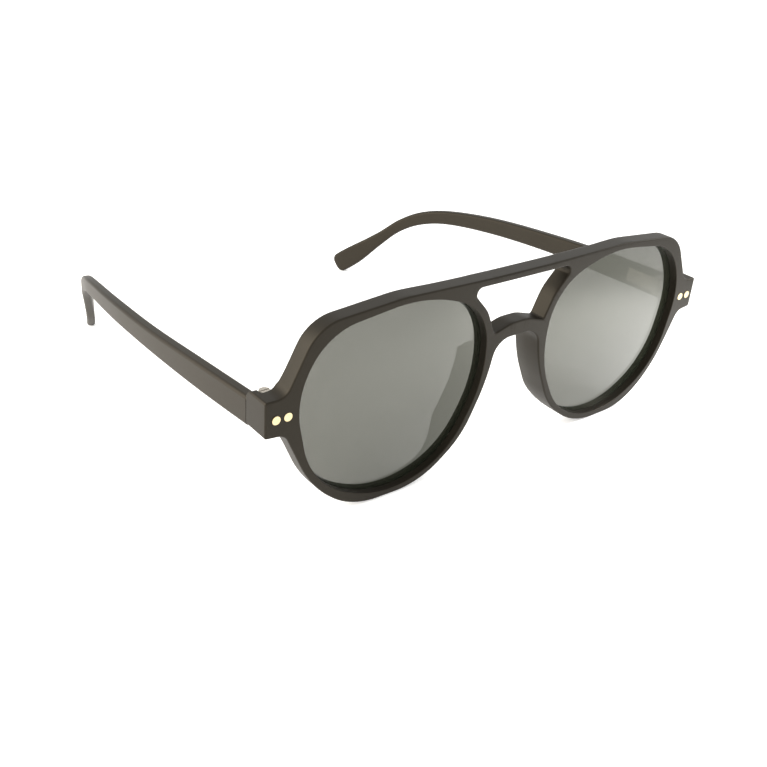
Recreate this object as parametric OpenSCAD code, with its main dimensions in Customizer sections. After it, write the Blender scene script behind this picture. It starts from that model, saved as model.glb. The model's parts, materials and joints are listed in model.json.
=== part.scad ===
// Double-bridge aviator sunglasses, standing open on the lower rims and the temple tips.
// Design frame: X to the wearer's left, Y back along the temples, Z up the lenses.
// Left half pieces are drawn at +X and mirrored for the right. The finished pair is
// then tilted onto the table.

/* [Front] */
// Half width of the front over the end pieces, mm
half_w = 70.2; // [68:0.2:74]
// Radius of the gentle wrap of the front, seen from above, mm
wrap_r = 2000; // [900:100:4000]
// Depth of the rims and both bridges from front to back, mm
rim_depth = 5.0; // [4.9:0.1:5.8]
// How far back the end piece reaches beside the hinge, mm
lug_back = 9; // [8.6:0.1:9.6]
// Thickness of the end piece arm beside the hinge, mm
lug_arm = 1.6; // [1.4:0.1:2]

/* [Lenses] */
// Radius of the lens surface, mm
lens_r = 260; // [200:10:400]
// How far the middle of the lens lies behind the front, mm
lens_recess = 0.9; // [0.6:0.1:2]
// Lens thickness, mm
lens_th = 1.1; // [0.9:0.1:1.1]
// How far the lens edge enters its groove, mm
lens_bite = 0.7; // [0.4:0.1:0.9]

/* [Nose pads] */
// How far the moulded pads reach behind the front, mm
pad_back = 9.5; // [8.5:0.25:10]
// Thickness of each pad, mm
pad_th = 2.2; // [1.8:0.1:2.4]
// Outward splay of each pad seen from above, degrees
pad_splay = 7; // [4:1:12]

/* [Temples] */
// Gap between end piece and temple when open, mm
joint_gap = 0.06; // [0.05:0.01:0.12]
// Depth of the drop behind the ear, mm
ear_drop = 1; // [0.9:0.05:1.1]
// Radius of the rounded tip, mm
tip_r = 3.4; // [3:0.1:3.8]
// Height of the flat wire core, mm
core_h = 1.6; // [1:0.1:2]
// Thickness of the flat wire core, mm
core_t = 1.0; // [0.8:0.1:1.2]

/* [Hinges] */
// Knuckle radius, mm
knuckle_r = 1.45; // [1.3:0.05:1.5]
// Screw shank radius, mm
screw_r = 0.6; // [0.5:0.05:0.7]
// Thickness of the hinge leaves, mm
leaf_th = 0.8; // [0.6:0.1:0.9]
// Radius of the rivet heads on the front, mm
rivet_r = 1.0; // [0.8:0.1:1.1]

/* [Hidden] */

$fn = 48;
eps = 0.02;             // fit between pieces that never move
run = 0.05;             // running clearance in the hinge
sx = half_w / 70.2;     // outline stretch for another width
arc_steps = 8;

// outline corners as [x, z, corner radius]
lens_corners = [[11.5, 42.5, 16.5], [30, 49.5, 41], [55.5, 46, 15], [63, 32.5, 20.5],
    [58.5, 9.5, 22], [39, -0.5, 27], [19.5, 4.5, 22], [9.5, 24, 30.5]];
front_corners = [[10, 49.8, 80], [36, 50.2, 45], [57.9, 48.3, 10.5], [65.3, 33.6, 3.5],
    [70.2, 33.6, 0.6], [70.2, 24.9, 0.6], [65.3, 24.5, 3], [58.3, 8.8, 36], [47, -0.4, 24],
    [27, -0.4, 26], [14.9, 8.8, 22], [8.9, 22.2, 45], [6.7, 33, 5]];
gap_corners = [[17.1, 48, 1.5], [11, 41.5, 11], [8.1, 35.1, 0.8], [2.6, 36.7, 9]];
lens_mid = [36 * sx, 25];
lens_turn = atan(lens_mid[0] / wrap_r);         // the lenses follow the wrap
lens_centre = [lens_mid[0] - lens_r * sin(lens_turn),
    lens_recess + pow(lens_mid[0], 2) / (2 * wrap_r) + lens_r * cos(lens_turn), lens_mid[1]];

// temple stations as [y, outer x, middle z, height, thickness]
stations = [[lug_back + joint_gap, 70.2, 28.0, 7.2, 3.0], [30, 71.1, 27.0, 6.9, 3.0],
    [55, 71.3, 25.5, 5.9, 2.9], [80, 69.9, 23.4, 5.4, 2.8], [100, 67.2, 20.6, 4.8, 2.7],
    [112, 64.4, 17.2, 4.8, 2.6], [121, 61.6, 12.1, 5.1, 2.6], [129, 58.2, 4.7, 6.2, 2.6],
    [137, 54.8, -2.8, 8.9, 2.6], [144, 52.3, -8.6, 9.2, 2.6]];
tip_y = stations[9][0];
tip_z = stations[9][2] * ear_drop;

// hinge
root_in = half_w - stations[0][4];              // inner face of the temple root
hinge_x = root_in - knuckle_r - 0.3;
hinge_y = lug_back + 0.3;
leaf_back = rim_depth + 1.1;                    // rear face of the front leaf
knuckle_z = [26.2, 27.9, 29.8, 31.3];           // ends of the three knuckles
knuckle_gap = 0.1;
rivet_z = 29;
rivet_x = [half_w - 5.5, half_w - 2.6];         // inner and outer rivet
rivet_shank = 0.7;
web_in = 1.0;                                   // half width of the knuckle webs

// table: the tilt that puts rims and tips on one plane, and the shift that centres the box
low_z = front_corners[8][1];
top_z = front_corners[1][1];
flat_cut = 0.1;
rest_tilt = asin((tip_r - tip_z + low_z) / tip_y);
row_y = -(tip_y * cos(rest_tilt) - (tip_z + top_z) * sin(rest_tilt) + tip_r) / 2;
row_z = -low_z * cos(rest_tilt) - flat_cut;

function unit(v) = v / norm(v);
// points on the rounded corner b between its neighbours a and c
function corner(a, b, c, r) =
    let (u = unit(a - b), v = unit(c - b), h = acos(u * v) / 2,
        t = min(r / tan(h), 0.49 * min(norm(a - b), norm(c - b))), q = t * tan(h),
        m = b + unit(u + v) * q / sin(h), s = b + u * t - m, e = b + v * t - m,
        a0 = atan2(s[1], s[0]), d0 = atan2(e[1], e[0]) - a0,
        d = d0 > 180 ? d0 - 360 : d0 < -180 ? d0 + 360 : d0)
    [for (i = [0 : arc_steps]) m + q * [cos(a0 + d * i / arc_steps), sin(a0 + d * i / arc_steps)]];
function flat2(p) = [p[0] * sx, p[1]];
function rounded(c) = let (n = len(c))
    [for (i = [0 : n - 1]) each corner(flat2(c[(i + n - 1) % n]), flat2(c[i]),
        flat2(c[(i + 1) % n]), c[i][2])];
function mirrored(c) = concat(c, [for (i = [len(c) - 1 : -1 : 0]) [-c[i][0], c[i][1], c[i][2]]]);
// closed outline moved outward by d
function grown(p, d) = let (n = len(p))
    [for (i = [0 : n - 1]) let (t = unit(p[(i + 1) % n] - p[(i + n - 1) % n])) p[i] + d * [-t[1], t[0]]];
// smooth curve through a list of points
function through(p, k = 4) = let (n = len(p) - 1) concat([for (i = [0 : n - 1], j = [0 : k - 1])
    let (t = j / k, a = p[max(i - 1, 0)], b = p[i], c = p[i + 1], d = p[min(i + 2, n)])
    b + 0.5 * t * ((c - a) + t * (2 * a - 5 * b + 4 * c - d + t * (3 * b - 3 * c + d - a)))], [p[n]]);

temple_line = through([for (s = stations)
    [s[0], s[1] + half_w - 70.2, s[2] * (s[2] < 0 ? ear_drop : 1), s[3], s[4]]]);
last = len(temple_line) - 1;

// stands the pair on the table: rims and tips on one flat plane
module on_table() {
    difference() {
        translate([0, row_y, row_z])
            rotate([rest_tilt, 0, 0])
                children();
        translate([0, 0, -20])
            cube([200, 200, 40], center = true);
    }
}

// outline in the lens plane, extruded from y0 back to y1
module plate(points, y0, y1) {
    translate([0, y1, 0])
        rotate([90, 0, 0])
            linear_extrude(y1 - y0)
                polygon(points);
}

// the layer of the wrapped front between two depths
module wrap_layer(y0, y1) {
    translate([0, wrap_r, -10])
        difference() {
            cylinder(r = wrap_r - y0, h = 70, $fn = 1440);
            translate([0, 0, -1])
                cylinder(r = wrap_r - y1, h = 72, $fn = 1440);
        }
}

// the layer between two lens surfaces, grown by c on both sides
module lens_layer(c) {
    difference() {
        translate(lens_centre)
            sphere(r = lens_r + c, $fn = 720);
        translate(lens_centre)
            sphere(r = lens_r - lens_th - c, $fn = 720);
    }
}

module lens_blank(edge, c) {
    intersection() {
        plate(grown(rounded(lens_corners), edge), 0, rim_depth + 1);
        lens_layer(c);
    }
}

module box(x0, x1, y0, y1, z0, z1) {
    translate([x0, y0, z0])
        cube([x1 - x0, y1 - y0, z1 - z0]);
}

// moulded pad behind the nose side of the left rim
module pad() {
    lean = 22.8;
    front_y = 4.2;
    translate([11.4 * sx, 0, 18.5])
        rotate([0, -lean, 0])
            rotate([0, 0, -pad_splay])
                rotate([90, 0, 90])
                    linear_extrude(pad_th)
                        polygon(pad_side(front_y));
}
function pad_side(y0) = let (c = [[y0, -10, 0.8], [y0, 9.5, 0.8], [pad_back, 8, 3.2], [pad_back, -5.5, 4]],
    n = len(c)) [for (i = [0 : n - 1]) each corner([c[(i + n - 1) % n][0], c[(i + n - 1) % n][1]],
        [c[i][0], c[i][1]], [c[(i + 1) % n][0], c[(i + 1) % n][1]], c[i][2])];

// arm of the end piece that meets the temple
module lug() {
    translate([half_w - lug_arm, 0, 0])
        rotate([90, 0, 90])
            linear_extrude(lug_arm)
                polygon([[3, 24.9], [lug_back, 24.6], [lug_back, 31.7], [lug_back - 0.6, 33],
                    [lug_back - 1.6, 33.6], [3, 33.6]]);
}

module rivet_hole(x) {
    translate([x, -1, rivet_z])
        rotate([-90, 0, 0])
            cylinder(r = rivet_shank + eps, h = 12);
    translate([x, -1, rivet_z])
        rotate([-90, 0, 0])
            cylinder(r = rivet_r + eps, h = 3.2);
}

module front_half_cuts() {
    plate(rounded(lens_corners), -2, 12);
    lens_blank(lens_bite + 0.05, 0.04);
    box(half_w - 7.3, half_w - 1.2, leaf_back - leaf_th - eps, leaf_back + 0.2, 25.9, 32.1);
    for (x = rivet_x)
        rivet_hole(x);
}

module front_frame() {
    color([0.16, 0.15, 0.13])
        on_table()
            difference() {
                union() {
                    intersection() {
                        plate(rounded(mirrored(front_corners)), -1, 10);
                        wrap_layer(0, rim_depth);
                    }
                    for (s = [0, 1])
                        mirror([s, 0, 0]) {
                            pad();
                            lug();
                        }
                }
                plate(rounded(mirrored(gap_corners)), -2, 12);
                for (s = [0, 1])
                    mirror([s, 0, 0])
                        front_half_cuts();
            }
}

module lens(side) {
    color([0.36, 0.39, 0.35, 0.6])
        on_table()
            mirror([side, 0, 0])
                lens_blank(lens_bite, 0);
}

module knuckle(k) {
    translate([hinge_x, hinge_y, knuckle_z[k]])
        cylinder(r = knuckle_r, h = knuckle_z[k + 1] - knuckle_z[k] - knuckle_gap);
}

module screw_bore(r, z0, z1) {
    translate([hinge_x, hinge_y, z0])
        cylinder(r = r, h = z1 - z0);
}

module front_leaf(side) {
    color([0.72, 0.70, 0.66])
        on_table()
            mirror([side, 0, 0])
                difference() {
                    union() {
                        box(half_w - 7.2, half_w - 1.3, leaf_back - leaf_th, leaf_back, 26, 32);
                        for (k = [0, 2]) {
                            knuckle(k);
                            box(hinge_x - web_in, hinge_x + web_in, leaf_back - 0.1, hinge_y,
                                knuckle_z[k], knuckle_z[k + 1] - knuckle_gap);
                        }
                    }
                    screw_bore(screw_r + eps, 20, 40);
                    for (x = rivet_x)
                        rivet_hole(x);
                }
}

module rivet(side, k) {
    head_back = 2.2;
    color([0.93, 0.80, 0.45])
        on_table()
            mirror([side, 0, 0])
                translate([rivet_x[k], 0, rivet_z])
                    rotate([-90, 0, 0]) {
                        translate([0, 0, 1])
                            cylinder(r = rivet_r, h = head_back - 1 - eps);
                        translate([0, 0, 1])
                            cylinder(r = rivet_shank, h = leaf_back - 1);
                    }
}

module hinge_screw(side) {
    head_h = 0.4;
    head_r = 1.3;
    color([0.78, 0.77, 0.75])
        on_table()
            mirror([side, 0, 0])
                translate([hinge_x, hinge_y, 0])
                    difference() {
                        union() {
                            translate([0, 0, 25.9])
                                cylinder(r = screw_r, h = knuckle_z[3] - 25.9);
                            translate([0, 0, knuckle_z[3] - 0.05])
                                cylinder(r = head_r, h = head_h + 0.05);
                        }
                        translate([0, 0, knuckle_z[3] + head_h])
                            cube([3, 0.3, 0.5], center = true);
                    }
}

// bar along temple stations i0 to i1 of the smooth line, closed by an end outline: h high
// and t thick, or the stations' own size where these are 0
module temple_bar(i0, i1, end = [], h = 0, t = 0) {
    line = [for (i = [i0 : i1]) temple_line[i]];
    high = [for (s = line) (h > 0 ? h : s[3]) / 2];
    thick = [for (s = line) (t > 0 ? t : s[4]) / 2];
    n = len(line) - 1;
    low_end = len(end) > 0 ? n - 2 : n;
    side_top = [for (i = [0 : n]) [line[i][0], line[i][2] + high[i]]];
    side_low = [for (i = [low_end : -1 : 0]) [line[i][0], line[i][2] - high[i]]];
    plan_out = [for (i = [0 : n]) [line[i][1] - line[i][4] / 2 + thick[i], line[i][0]]];
    plan_in = [for (i = [n : -1 : 0]) [line[i][1] - line[i][4] / 2 - thick[i], line[i][0]]];
    past = len(end) > 0 ? (tip_r + 1) * unit(plan_out[n] - plan_out[n - 1]) : [0, 0];
    intersection() {
        translate([40, 0, 0])
            rotate([90, 0, 90])
                linear_extrude(40)
                    polygon(concat(side_top, end, side_low));
        translate([0, 0, -20])
            linear_extrude(60)
                polygon(concat([for (i = [0 : n]) plan_out[i] + (i == n ? past : [0, 0])],
                    [for (i = [0 : n]) plan_in[i] + (i == 0 ? past : [0, 0])]));
    }
}

// rounded paddle end of the side outline
function tip_end() = let (a = temple_line[last - 1], b = temple_line[last],
    u = unit([b[0] - a[0], b[2] - a[2]])) [for (i = [0 : 2 * arc_steps])
        let (f = 90 - 90 * i / arc_steps) [b[0], b[2]] + tip_r * (cos(f) * u + sin(f) * [-u[1], u[0]])];

module temple_body() {
    temple_bar(0, last, tip_end());
}

module core_line(c) {
    temple_bar(6, last - 3, [], core_h + 2 * c, core_t + 2 * c);
}

module leaf_plate(c) {
    box(root_in - c, root_in + leaf_th + c, hinge_y + 2, 22 + c, 25.7 - c, 29.9 + c);
    box(hinge_x, root_in + leaf_th + c, hinge_y + 0.5, hinge_y + 2.4,
        knuckle_z[1] - c, knuckle_z[2] - knuckle_gap + c);
}

module temple(side) {
    color([0.16, 0.15, 0.13])
        on_table()
            mirror([side, 0, 0])
                difference() {
                    temple_body();
                    leaf_plate(eps);
                    core_line(eps);
                }
}

module temple_leaf(side) {
    color([0.72, 0.70, 0.66])
        on_table()
            mirror([side, 0, 0])
                difference() {
                    union() {
                        knuckle(1);
                        leaf_plate(0);
                    }
                    screw_bore(screw_r + run, 20, 40);
                }
}

module temple_core(side) {
    color([0.75, 0.76, 0.78])
        on_table()
            mirror([side, 0, 0])
                core_line(0);
}

front_frame();
lens(0);  // lens_left
lens(1);  // lens_right
front_leaf(0);  // front_leaf_left
front_leaf(1);  // front_leaf_right
rivet(0, 1);  // rivet_outer_left
rivet(0, 0);  // rivet_inner_left
rivet(1, 1);  // rivet_outer_right
rivet(1, 0);  // rivet_inner_right
hinge_screw(0);  // hinge_screw_left
hinge_screw(1);  // hinge_screw_right
temple(0);  // temple_left
temple(1);  // temple_right
temple_leaf(0);  // temple_leaf_left
temple_leaf(1);  // temple_leaf_right
temple_core(0);  // temple_core_left
temple_core(1);  // temple_core_right
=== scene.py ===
import json
import math

import bmesh
import bpy
import numpy as np
from mathutils import Matrix, Vector
from mathutils.geometry import delaunay_2d_cdt


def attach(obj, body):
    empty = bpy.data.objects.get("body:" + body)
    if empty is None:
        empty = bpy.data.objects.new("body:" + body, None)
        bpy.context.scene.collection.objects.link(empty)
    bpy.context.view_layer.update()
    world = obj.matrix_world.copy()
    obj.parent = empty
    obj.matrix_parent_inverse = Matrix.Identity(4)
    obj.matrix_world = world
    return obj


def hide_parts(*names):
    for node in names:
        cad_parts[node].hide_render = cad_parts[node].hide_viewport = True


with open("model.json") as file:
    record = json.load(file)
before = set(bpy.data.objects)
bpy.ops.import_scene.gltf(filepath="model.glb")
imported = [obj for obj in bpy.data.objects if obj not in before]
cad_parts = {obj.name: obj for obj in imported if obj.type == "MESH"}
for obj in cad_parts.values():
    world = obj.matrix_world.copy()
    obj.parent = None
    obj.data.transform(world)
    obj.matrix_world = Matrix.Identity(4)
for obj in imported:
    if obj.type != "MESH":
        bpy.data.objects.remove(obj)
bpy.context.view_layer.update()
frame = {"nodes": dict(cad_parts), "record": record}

MM = 0.001

# ---------------------------------------------------------------- design frame
# Shapes are drawn in millimetres in the design frame of the CAD source: X to the
# wearer's left, Y back along the temples, Z up the lenses. The hinge's place and
# axis in the record give its tilt and shift on the table.
HINGE = Vector((65.45, 9.3, 29.2))
joint = next(j for j in frame["record"]["behaviour"]["joints"] if j["name"] == "hinge_left")
TILT = math.atan2(-joint["axis"][1], joint["axis"][2])
turn = Matrix.Rotation(TILT, 4, "X")
shift = Vector(joint["pos_m"]) - MM * (turn @ HINGE)
TO_ROW = Matrix.Translation(shift) @ turn @ Matrix.Scale(MM, 4)

WRAP_R = 2000
RIM_DEPTH = 5.0
LUG_BACK = 9.0
LUG_IN = 68.6  # inner face of the end piece arm
LUG_STEP = 0.05  # half the width of the step beside that face
LUG_STEPS = (LUG_IN - LUG_STEP, LUG_IN + LUG_STEP, -LUG_IN - LUG_STEP, -LUG_IN + LUG_STEP)
STEP_LOW, STEP_HIGH = 25.9, 33.1  # ends of the step line on the rear face
PLATE_BACK = 5.7  # rear face of the end piece beside the hinge leaf
PLATE_START = 62  # where that face begins, sideways from the middle
PAD_BACK = 9.6
PAD_REACH = 26  # the moulded pads lie nearer the middle than this
PAD_SPLAY, SPLAY_FROM = 0.16, 5.4  # sideways spread per mm of depth, and the depth it starts at
LENS_R, LENS_RECESS, LENS_TH, LENS_MID = 260, 0.9, 1.1, (36, 25)
LENS_GRIP = 0.7  # how far the lens reaches into its groove
GROOVE_DEPTH, GROOVE_PLAY = 0.75, 0.03
FACE_R = 0.4  # rounding of the front face's outer edges
LENS_HOLE_R = 0.18  # rounding of the front face's edge at a lens

# outline corners as (x, z, corner radius), clockwise seen from the front
LENS = [(11.5, 42.5, 16.5), (30, 49.5, 41), (55.5, 46, 15), (63, 32.5, 20.5),
        (58.5, 9.5, 22), (39, -0.5, 27), (19.5, 4.5, 22), (9.5, 24, 30.5)]
FRONT = [(10, 49.8, 80), (36, 50.2, 45), (57.9, 48.3, 10.5), (65.3, 33.6, 3.5),
         (70.2, 33.6, 0.6), (70.2, 24.9, 0.6), (65.3, 24.5, 3), (58.3, 8.8, 36), (47, -0.4, 24),
         (27, -0.4, 26), (14.9, 8.8, 22), (8.9, 22.2, 45), (6.7, 33, 5)]
GAP = [(17.1, 48, 1.5), (11, 41.5, 11), (8.1, 35.1, 0.8), (2.6, 36.7, 9)]

# temple stations as (y, outer x, middle z, height, thickness)
TEMPLE = [(9.06, 70.2, 28.0, 7.2, 3.0), (30, 71.1, 27.0, 6.9, 3.0), (55, 71.3, 25.5, 5.9, 2.9),
          (80, 69.9, 23.4, 5.4, 2.8), (100, 67.2, 20.6, 4.8, 2.7), (112, 64.4, 17.2, 4.8, 2.6),
          (121, 61.6, 12.1, 5.1, 2.6), (129, 58.2, 4.7, 6.2, 2.6), (137, 54.8, -2.8, 8.9, 2.6),
          (144, 52.3, -8.6, 9.2, 2.6)]
TEMPLE_EDGE_R = 0.85
TIP_REACH = 2.7  # length of the rounded end past the last station
TIP_FULLNESS = 0.72  # under 1, the end is blunter than half an ellipse
TIP_LEAST = 0.25  # least half height at the very end, and least share of the half thickness


def smooth(t):
    t = min(max(t, 0.0), 1.0)
    return t * t * (3 - 2 * t)


def mirrored(corners):
    return corners + [(-x, z, r) for x, z, r in reversed(corners)]


def rounded(corners, steps=10, longest=1.2):
    """Closed outline through the corners, each with its own arc, with long edges divided."""
    pts = []
    n = len(corners)
    for i in range(n):
        a, b, c = (np.array(corners[k % n][:2], float) for k in (i - 1, i, i + 1))
        la, lc = np.linalg.norm(a - b), np.linalg.norm(c - b)
        u, v = (a - b) / la, (c - b) / lc
        half = math.acos(float(np.clip(u @ v, -1, 1))) / 2
        t = min(corners[i][2] / math.tan(half), 0.49 * min(la, lc))
        q = t * math.tan(half)
        w = u + v
        m = b + w / np.linalg.norm(w) * q / math.sin(half)
        s, e = b + u * t - m, b + v * t - m
        a0 = math.atan2(s[1], s[0])
        sweep = (math.atan2(e[1], e[0]) - a0 + math.pi) % (2 * math.pi) - math.pi
        k_max = max(steps, int(abs(sweep) * q / longest) + 1)
        for k in range(k_max + 1):
            f = a0 + sweep * k / k_max
            pts.append(m + q * np.array([math.cos(f), math.sin(f)]))
    out = []
    for p, nxt in zip(pts, pts[1:] + pts[:1]):
        gap = np.linalg.norm(nxt - p)
        if gap < 1e-4:
            continue
        parts = int(gap / longest) + 1
        out += [p + (nxt - p) * k / parts for k in range(parts)]
    return np.array(out)


def left_normals(loop):
    """Unit normals that point out of a clockwise loop."""
    t = np.roll(loop, -1, 0) - np.roll(loop, 1, 0)
    t /= np.linalg.norm(t, axis=1)[:, None]
    return np.column_stack([-t[:, 1], t[:, 0]])


def wrap(x):
    return x * x / (2 * WRAP_R)


def lens_y(x, z, side=1):
    """Depth of the lens's front surface at the place (x, z)."""
    lean = math.atan(LENS_MID[0] / WRAP_R)
    cx = LENS_MID[0] - LENS_R * math.sin(lean)
    cy = LENS_RECESS + wrap(LENS_MID[0]) + LENS_R * math.cos(lean)
    return cy - math.sqrt(LENS_R**2 - (x * side - cx) ** 2 - (z - LENS_MID[1]) ** 2)


def pad_amount(x, z):
    """0 away from the nose sides, 1 along the moulded pads."""
    if abs(x) > PAD_REACH:
        return 0.0
    return smooth((31.6 - z) / 3.4) * smooth((z - 2.5) / 9.5)


def rear_depth(x, z):
    """Depth of the front's rear face at the place (x, z)."""
    ax = abs(x)
    plain = RIM_DEPTH + wrap(ax)
    depth = plain + (PAD_BACK - plain) * pad_amount(x, z)
    if ax > PLATE_START:
        flat = smooth(ax - PLATE_START) * smooth((z - 24.0) / 1.2) * smooth((34.8 - z) / 0.8)
        depth += (PLATE_BACK - depth) * flat
    if ax > LUG_IN:
        depth = LUG_BACK - 1.6 * max(0.0, (z - 31.6) / 2.0) ** 2
    return depth


def splay(x, y, z):
    """x, spread outwards with depth along the pads."""
    return x + math.copysign(max(0.0, y - SPLAY_FROM) * PAD_SPLAY * pad_amount(x, z), x)


# ---------------------------------------------------------------- mesh helpers
def finish_mesh(name, bm, sharp=32):
    """Object of a bmesh drawn in design millimetres, now in the row frame."""
    bmesh.ops.transform(bm, matrix=TO_ROW, verts=bm.verts)
    bmesh.ops.recalc_face_normals(bm, faces=bm.faces)
    mesh = bpy.data.meshes.new(name)
    bm.to_mesh(mesh)
    bm.free()
    mesh.shade_smooth()
    mesh.set_sharp_from_angle(angle=math.radians(sharp))
    obj = bpy.data.objects.new(name, mesh)
    bpy.context.scene.collection.objects.link(obj)
    weighted = obj.modifiers.new("weighted", "WEIGHTED_NORMAL")
    weighted.keep_sharp = True
    return obj


def place(obj, body, slot, materials, *nodes):
    """Gives an object its materials and its body, and hides the CAD nodes it stands for; slot is
    not used.
    """
    for material in materials:
        obj.data.materials.append(material)
    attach(obj, body)
    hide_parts(*nodes)
    return obj


def bridge(bm, a, b):
    """Quads between two rings of vertices of the same length."""
    n = len(a)
    for i in range(n):
        j = (i + 1) % n
        bm.faces.new((a[i], a[j], b[j], b[i]))


def inside(p, loop):
    x, z = p
    hit = False
    for (x0, z0), (x1, z1) in zip(loop, np.roll(loop, -1, 0)):
        if (z0 > z) != (z1 > z) and x < x0 + (z - z0) * (x1 - x0) / (z1 - z0):
            hit = not hit
    return hit


def fill(bm, outer, holes, extra_lines=()):
    """Triangles between an outer ring and hole rings, through extra lines of vertices."""
    verts, edges = [], []
    for ring in [outer, *holes]:
        base = len(verts)
        verts += ring
        edges += [(base + i, base + (i + 1) % len(ring)) for i in range(len(ring))]
    for line in extra_lines:
        base = len(verts)
        verts += line
        edges += [(base + i, base + i + 1) for i in range(len(line) - 1)]
    flat = [Vector((v.co.x, v.co.z)) for v in verts]
    made = delaunay_2d_cdt(flat, edges, [], 1, 1e-5, True)
    points, faces, origin = made[0], made[2], made[3]
    loops = [np.array([(v.co.x, v.co.z) for v in ring]) for ring in [outer, *holes]]
    for face in faces:
        mid = sum((points[i] for i in face), Vector((0, 0))) / 3
        if [inside(mid, loop) for loop in loops] != [True] + [False] * len(holes):
            continue
        corners = [verts[origin[i][0]] for i in face]
        if len(set(corners)) == 3:
            bm.faces.new(corners)


# ---------------------------------------------------------------- front frame
FRONT_ARCS, REAR_ARCS = 4, 6  # faces across a rounded edge


def room(loop, others):
    """Distance from each point of a loop to the nearest point of the other loops."""
    near = np.vstack(others)
    return np.array([np.linalg.norm(near - p, axis=1).min() for p in loop])


def even(values, times=6):
    """The values around a loop, with sudden changes softened."""
    values = np.array(values, float)
    for _ in range(times):
        values = np.minimum(values, (np.roll(values, 1) + 2 * values + np.roll(values, -1)) / 4)
    return values


def front_rings(bm, loop, others, material_side, front_r, rear_r, share, groove):
    """Rings of one outline from the front face to the rear face.
    material_side is 1 where the plastic lies outside the loop, -1 inside. front_r is the
    front edge's radius and rear_r(x, z) the rear edge's. share is the part of the plastic's
    width that the rounded rear edge may take."""
    normal = left_normals(loop) * material_side
    rows = []

    def ring(inset, depth):
        made = []
        for i, (x, z) in enumerate(loop):
            px, pz = np.array((x, z)) + normal[i] * (inset(i) if callable(inset) else inset)
            y = depth(i, x, z)
            made.append(bm.verts.new((splay(px, y, pz), y, pz)))
        rows.append(made)

    rear_at = even(np.minimum([rear_r(x, z) for x, z in loop], share * room(loop, others)))
    for k in range(FRONT_ARCS + 1):
        f = math.radians(90 * k / FRONT_ARCS)
        ring(front_r * (1 - math.sin(f)),
             lambda i, x, z, f=f: wrap(x) + front_r * (1 - math.cos(f)))
    if groove:
        side = math.copysign(1, loop[:, 0].mean())
        near, far = -GROOVE_PLAY, LENS_TH + GROOVE_PLAY
        for inset, back in ((0, near), (GROOVE_DEPTH, near), (GROOVE_DEPTH, far), (0, far)):
            ring(inset, lambda i, x, z, back=back: lens_y(x, z, side) + back)
    else:
        for part in (0.25, 0.5, 0.75):
            ring(0, lambda i, x, z, part=part: (wrap(x) + front_r) * (1 - part)
                 + (rear_depth(x, z) - rear_at[i]) * part)
    for k in range(REAR_ARCS + 1):
        f = math.radians(90 * k / REAR_ARCS)
        ring(lambda i, f=f: rear_at[i] * (1 - math.cos(f)),
             lambda i, x, z, f=f: rear_depth(x, z) - rear_at[i] * (1 - math.sin(f)))
    for a, b in zip(rows, rows[1:]):
        bridge(bm, a, b)
    return rows[0], rows[-1]


def outer_rear_r(x, z):
    return 1.25 - 1.05 * smooth((abs(x) - 63.5) / 2.0)


def hole_rear_r(x, z):
    return 0.28 + 0.3 * pad_amount(x, z)


def with_lug_steps(loop):
    """Adds outline points at the inner face of the end piece arm."""
    out = []
    for p, nxt in zip(loop, np.roll(loop, -1, 0)):
        out.append(p)
        cuts = []
        for x in LUG_STEPS:
            if (p[0] - x) * (nxt[0] - x) < 0:
                t = (x - p[0]) / (nxt[0] - p[0])
                cuts.append((t, p + (nxt - p) * t))
        out += [c for _, c in sorted(cuts, key=lambda c: c[0])]
    return np.array(out)


def make_front():
    bm = bmesh.new()
    edge = with_lug_steps(rounded(mirrored(FRONT)))
    gap = rounded(mirrored(GAP))
    lens = rounded(LENS)
    lenses = [lens, lens[::-1] * (-1, 1)]
    outer = front_rings(bm, edge, [gap, *lenses], -1, FACE_R, outer_rear_r, 0.55, False)
    holes = [front_rings(bm, loop, [edge, gap], 1, LENS_HOLE_R, hole_rear_r, 0.2, True)
             for loop in lenses]
    holes.append(front_rings(bm, gap, [edge, *lenses], 1, FACE_R, lambda x, z: 0.8, 0.3, False))
    fill(bm, outer[0], [h[0] for h in holes])
    steps = []
    for x in LUG_STEPS:
        zs = np.linspace(STEP_LOW, STEP_HIGH, 13)
        steps.append([bm.verts.new((x, rear_depth(x, z), z)) for z in zs])
    fill(bm, outer[1], [h[1] for h in holes], steps)
    return finish_mesh("front_shell", bm)


# ---------------------------------------------------------------- lenses
def make_lens(side):
    """Curved lens. Its front faces take the first material, its back and edge the second."""
    bm = bmesh.new()
    loop = rounded(LENS)
    loop = loop + left_normals(loop) * LENS_GRIP
    centre = loop.mean(0)
    edges = []
    for back in (0, LENS_TH):
        rings = [[bm.verts.new((side * centre[0], lens_y(*centre) + back, centre[1]))]]
        for part in (0.1, 0.25, 0.4, 0.55, 0.7, 0.85, 1.0):
            pts = centre + (loop - centre) * part
            rings.append([bm.verts.new((side * x, lens_y(x, z) + back, z)) for x, z in pts])
        for i in range(len(loop)):
            bm.faces.new((rings[0][0], rings[1][i], rings[1][(i + 1) % len(loop)]))
        for a, b in zip(rings[1:], rings[2:]):
            bridge(bm, a, b)
        edges.append(rings[-1])
        if back == 0:
            front_faces = set(bm.faces)
    bridge(bm, edges[0], edges[1])
    for face in bm.faces:
        face.material_index = 0 if face in front_faces else 1
    return finish_mesh("lens_shell_" + ("left" if side > 0 else "right"), bm, 40)


# ---------------------------------------------------------------- temples
def through(points, per):
    """Catmull-Rom curve through rows of numbers, with per steps from row to row."""
    p = np.array(points, float)
    n = len(p) - 1
    out = []
    for i in range(n):
        a, b, c, d = p[max(i - 1, 0)], p[i], p[i + 1], p[min(i + 2, n)]
        for j in range(per):
            t = j / per
            out.append(b + 0.5 * t * ((c - a) + t * (2 * a - 5 * b + 4 * c - d
                                                       + t * (3 * b - 3 * c + d - a))))
    return np.array(out + [p[n]])


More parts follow.
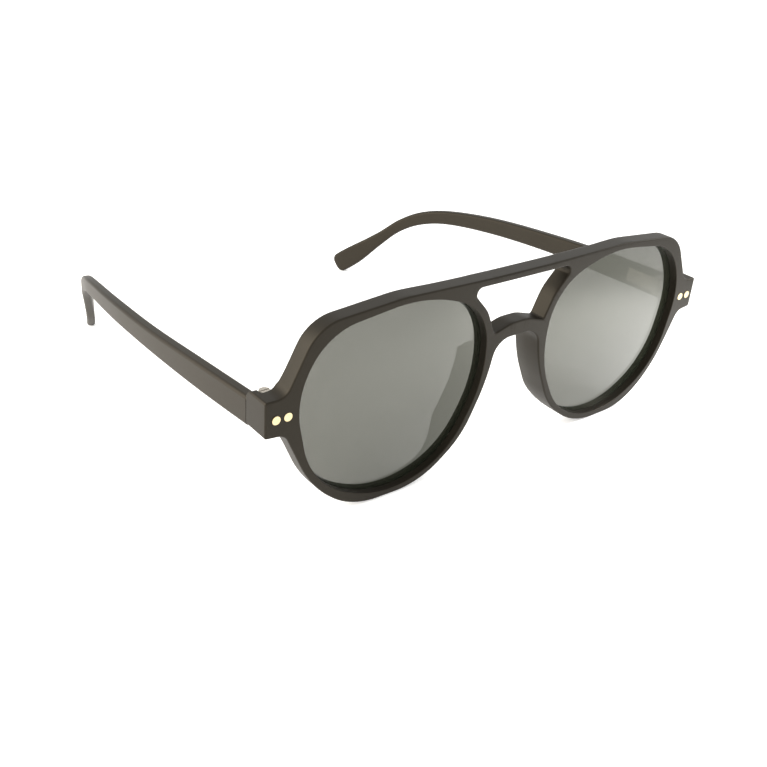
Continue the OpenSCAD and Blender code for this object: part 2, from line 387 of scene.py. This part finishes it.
def section(half_t, half_h, r, steps=6):
    """Rounded rectangle as (thickness, height) pairs."""
    r = min(r, half_t * 0.98, half_h * 0.98)
    pts = []
    for cx, cz, a0 in ((1, 1, 0), (-1, 1, 90), (-1, -1, 180), (1, -1, 270)):
        for k in range(steps + 1):
            f = math.radians(a0 + 90 * k / steps)
            pts.append((cx * (half_t - r) + r * math.cos(f), cz * (half_h - r) + r * math.sin(f)))
    return pts


def make_temple(side):
    bm = bmesh.new()
    line = through(TEMPLE, 8)
    centre = np.column_stack([line[:, 1] - line[:, 4] / 2, line[:, 0], line[:, 2]])
    tangent = np.gradient(centre, axis=0)
    tangent /= np.linalg.norm(tangent, axis=1)[:, None]
    stations = []
    for i in range(len(line)):
        slope = tangent[i][2] / math.hypot(tangent[i][1], tangent[i][2])
        half_h = line[i][3] / 2 * math.sqrt(1 - slope * slope)
        stations.append([centre[i], tangent[i], line[i][4] / 2, half_h])
    # the rounded end of the tip
    end, along, half_t, half_h = stations[-1]
    steps = 8
    for k in range(1, steps + 1):
        f = math.radians(90 * k / steps)
        scale = max(math.cos(f), 0.0) ** TIP_FULLNESS
        stations.append([end + along * TIP_REACH * math.sin(f), along,
                         half_t * max(TIP_LEAST, scale ** 0.5), max(TIP_LEAST, half_h * scale)])
    rings = []
    for k, (c, t, half_t, half_h) in enumerate(stations):
        up = np.array((0, 0, 1.0)) - t * t[2]
        up /= np.linalg.norm(up)
        across = np.cross(t, up)
        if k == 0:  # the root is cut square, to lie flat on the end piece
            up, across = np.array((0, 0, 1.0)), np.array((1.0, 0, 0))
        ring = []
        for a, h in section(half_t, half_h, TEMPLE_EDGE_R):
            x, y, z = c + across * a + up * h
            ring.append(bm.verts.new((side * x, y, z)))
        rings.append(ring)
    for a, b in zip(rings, rings[1:]):
        bridge(bm, a, b)
    bm.faces.new(rings[0])
    bm.faces.new(rings[-1])
    return finish_mesh("temple_shell_" + ("left" if side > 0 else "right"), bm, 45)


# ---------------------------------------------------------------- materials
def new_material(name):
    material = bpy.data.materials.new(name)
    material.use_nodes = True
    tree = material.node_tree
    return material, tree, tree.nodes["Principled BSDF"]


def noise(tree, scale, detail):
    co = tree.nodes.new("ShaderNodeTexCoord")
    tex = tree.nodes.new("ShaderNodeTexNoise")
    tex.inputs["Scale"].default_value = scale
    tex.inputs["Detail"].default_value = detail
    tree.links.new(co.outputs["Object"], tex.inputs["Vector"])
    return tex


def ramp(tree, source, stops):
    node = tree.nodes.new("ShaderNodeValToRGB")
    elements = node.color_ramp.elements
    for element, (at, color) in zip(elements, stops):
        element.position, element.color = at, color
    tree.links.new(source, node.inputs["Fac"])
    return node


def bump(tree, source, shader, strength, distance):
    node = tree.nodes.new("ShaderNodeBump")
    node.inputs["Strength"].default_value = strength
    node.inputs["Distance"].default_value = distance
    tree.links.new(source, node.inputs["Height"])
    tree.links.new(node.outputs["Normal"], shader.inputs["Normal"])


def spread(tree, source, low, high):
    """A 0 to 1 value mapped to the range from low to high."""
    node = tree.nodes.new("ShaderNodeMapRange")
    node.inputs["To Min"].default_value = low
    node.inputs["To Max"].default_value = high
    tree.links.new(source, node.inputs["Value"])
    return node.outputs["Result"]


def plastic(name, dark, light):
    material, tree, shader = new_material(name)
    cloud = noise(tree, 60, 4)
    tint = ramp(tree, cloud.outputs["Fac"], [(0.3, dark), (0.7, light)])
    tree.links.new(tint.outputs["Color"], shader.inputs["Base Color"])
    tree.links.new(spread(tree, cloud.outputs["Fac"], 0.40, 0.50), shader.inputs["Roughness"])
    grain = noise(tree, 5200, 2)
    bump(tree, grain.outputs["Fac"], shader, 0.12, 0.00003)
    shader.inputs["Specular IOR Level"].default_value = 0.26
    shader.inputs["Specular Tint"].default_value = (1.0, 0.90, 0.74, 1)
    return material


def metal(name, color, dark, rough, stretch):
    """Metal with fine grain, drawn out along the axes where stretch is small."""
    material, tree, shader = new_material(name)
    co = tree.nodes.new("ShaderNodeTexCoord")
    mapping = tree.nodes.new("ShaderNodeMapping")
    mapping.inputs["Scale"].default_value = stretch
    tex = tree.nodes.new("ShaderNodeTexNoise")
    tex.inputs["Scale"].default_value = 900
    tree.links.new(co.outputs["Object"], mapping.inputs["Vector"])
    tree.links.new(mapping.outputs["Vector"], tex.inputs["Vector"])
    tint = ramp(tree, tex.outputs["Fac"], [(0.3, dark), (0.7, color)])
    tree.links.new(tint.outputs["Color"], shader.inputs["Base Color"])
    tree.links.new(spread(tree, tex.outputs["Fac"], rough - 0.06, rough + 0.08),
                   shader.inputs["Roughness"])
    bump(tree, tex.outputs["Fac"], shader, 0.15, 0.00002)
    shader.inputs["Metallic"].default_value = 1.0
    return material


def smoke_glass(name, dark, light, alpha):
    """Smoked lens surface, partly see-through where alpha is under 1."""
    material, tree, shader = new_material(name)
    cloud = noise(tree, 18, 2)
    tint = ramp(tree, cloud.outputs["Fac"], [(0.25, dark), (0.75, light)])
    tree.links.new(tint.outputs["Color"], shader.inputs["Base Color"])
    shader.inputs["Roughness"].default_value = 0.04
    shader.inputs["IOR"].default_value = 1.74
    shader.inputs["Specular Tint"].default_value = (0.99, 1.0, 0.86, 1)
    shader.inputs["Alpha"].default_value = alpha
    return material


frame_plastic = plastic("frame_plastic", (0.0070, 0.0058, 0.0038, 1),
                        (0.0098, 0.0081, 0.0055, 1))
temple_plastic = plastic("temple_plastic", (0.0108, 0.0088, 0.0058, 1),
                         (0.0142, 0.0117, 0.0079, 1))
steel = metal("hinge_steel", (0.50, 0.46, 0.40, 1), (0.36, 0.33, 0.28, 1), 0.34, (1, 1, 8))
turned = metal("screw_steel", (0.52, 0.48, 0.42, 1), (0.38, 0.35, 0.30, 1), 0.28, (6, 6, 1))
strip = metal("core_steel", (0.76, 0.76, 0.77, 1), (0.60, 0.60, 0.61, 1), 0.3, (8, 1, 8))
gold = metal("pale_gold", (0.80, 0.68, 0.42, 1), (0.72, 0.59, 0.33, 1), 0.26, (1, 1, 1))
tinted = smoke_glass("smoke_lens", (0.010, 0.012, 0.008, 1), (0.016, 0.018, 0.012, 1), 0.93)
clear = smoke_glass("smoke_lens_back", (0.010, 0.012, 0.008, 1), (0.014, 0.016, 0.010, 1), 0.12)

# ---------------------------------------------------------------- pieces
place(make_front(), "front", "front", [frame_plastic], "front_frame")
for side, word in ((1, "left"), (-1, "right")):
    place(make_lens(side), "front", "lens", [tinted, clear], "lens_" + word)
    place(make_temple(side), "temple_" + word, "temple", [temple_plastic], "temple_" + word)
carried = {"front_leaf": steel, "temple_leaf": steel, "hinge_screw": turned,
           "temple_core": strip, "rivet_outer": gold, "rivet_inner": gold}
for word, material in carried.items():
    for side in ("left", "right"):
        node = frame["nodes"][word + "_" + side]
        node.data.materials.clear()
        node.data.materials.append(material)

# ---------------------------------------------------------------- floor, light, camera
scene = bpy.context.scene
scene.view_settings.view_transform = "Standard"

FLOOR_HALF = 4  # metres from the middle of the floor to its sides
floor_mesh = bpy.data.meshes.new("floor")
floor_corners = [(x * FLOOR_HALF, y * FLOOR_HALF, 0)
                 for x, y in ((-1, -1), (1, -1), (1, 1), (-1, 1))]
floor_mesh.from_pydata(floor_corners, [], [(0, 1, 2, 3)])
floor = bpy.data.objects.new("floor", floor_mesh)
floor.location.z = -0.0002  # just clear of the feet
scene.collection.objects.link(floor)
floor_material, _, floor_shader = new_material("floor_white")
floor_shader.inputs["Base Color"].default_value = (0.93, 0.93, 0.93, 1)
floor_shader.inputs["Roughness"].default_value = 0.9
floor_shader.inputs["Emission Color"].default_value = (1, 1, 1, 1)
floor_shader.inputs["Emission Strength"].default_value = 0.38
floor_shader.inputs["Specular IOR Level"].default_value = 0.1
floor_mesh.materials.append(floor_material)

world = bpy.data.worlds.new("studio")
world.use_nodes = True
background = world.node_tree.nodes["Background"]
background.inputs["Color"].default_value = (1.0, 0.995, 0.98, 1)
background.inputs["Strength"].default_value = 1.1
scene.world = world


def put_light(data, at, aim):
    """Light object at one place, aimed at another, in metres."""
    light = bpy.data.objects.new(data.name, data)
    light.location = at
    light.rotation_euler = (Vector(aim) - Vector(at)).to_track_quat("-Z", "Y").to_euler()
    scene.collection.objects.link(light)


lamp = bpy.data.lights.new("left", "AREA")
lamp.shape, lamp.size, lamp.energy, lamp.color = "DISK", 0.6, 5.0, (1.0, 0.93, 0.82)
put_light(lamp, (-0.5, 0.12, 0.28), (-0.07, 0.0, 0.02))

# a small spot brightens the part of the floor that the lens at +X mirrors
spot = bpy.data.lights.new("floor_glow", "SPOT")
spot.energy, spot.spot_size, spot.spot_blend, spot.shadow_soft_size = 1.0, 1.3, 1.0, 0.02
put_light(spot, (0.13, -0.125, 0.10), (0.078, -0.09, 0))

# the camera's place and direction, in the design frame
CAMERA_AT = Vector((-160.533, -146.710, 133.662))
CAMERA_LOOK = Vector((0.5556, 0.6809, -0.4772))
CAMERA_ROLL = math.radians(4.307)
camera_data = bpy.data.cameras.new("camera")
camera_data.sensor_width = 36
camera_data.lens = 46.12
camera = bpy.data.objects.new("camera", camera_data)
scene.collection.objects.link(camera)
scene.camera = camera
look = CAMERA_LOOK.normalized()
right = look.cross(Vector((0, 0, 1))).normalized()
up = right.cross(look)
right, up = (right * math.cos(CAMERA_ROLL) + up * math.sin(CAMERA_ROLL),
             up * math.cos(CAMERA_ROLL) - right * math.sin(CAMERA_ROLL))
axes = turn.to_3x3() @ Matrix((right, up, -look)).transposed()
camera.matrix_world = Matrix.Translation(TO_ROW @ CAMERA_AT) @ axes.to_4x4()
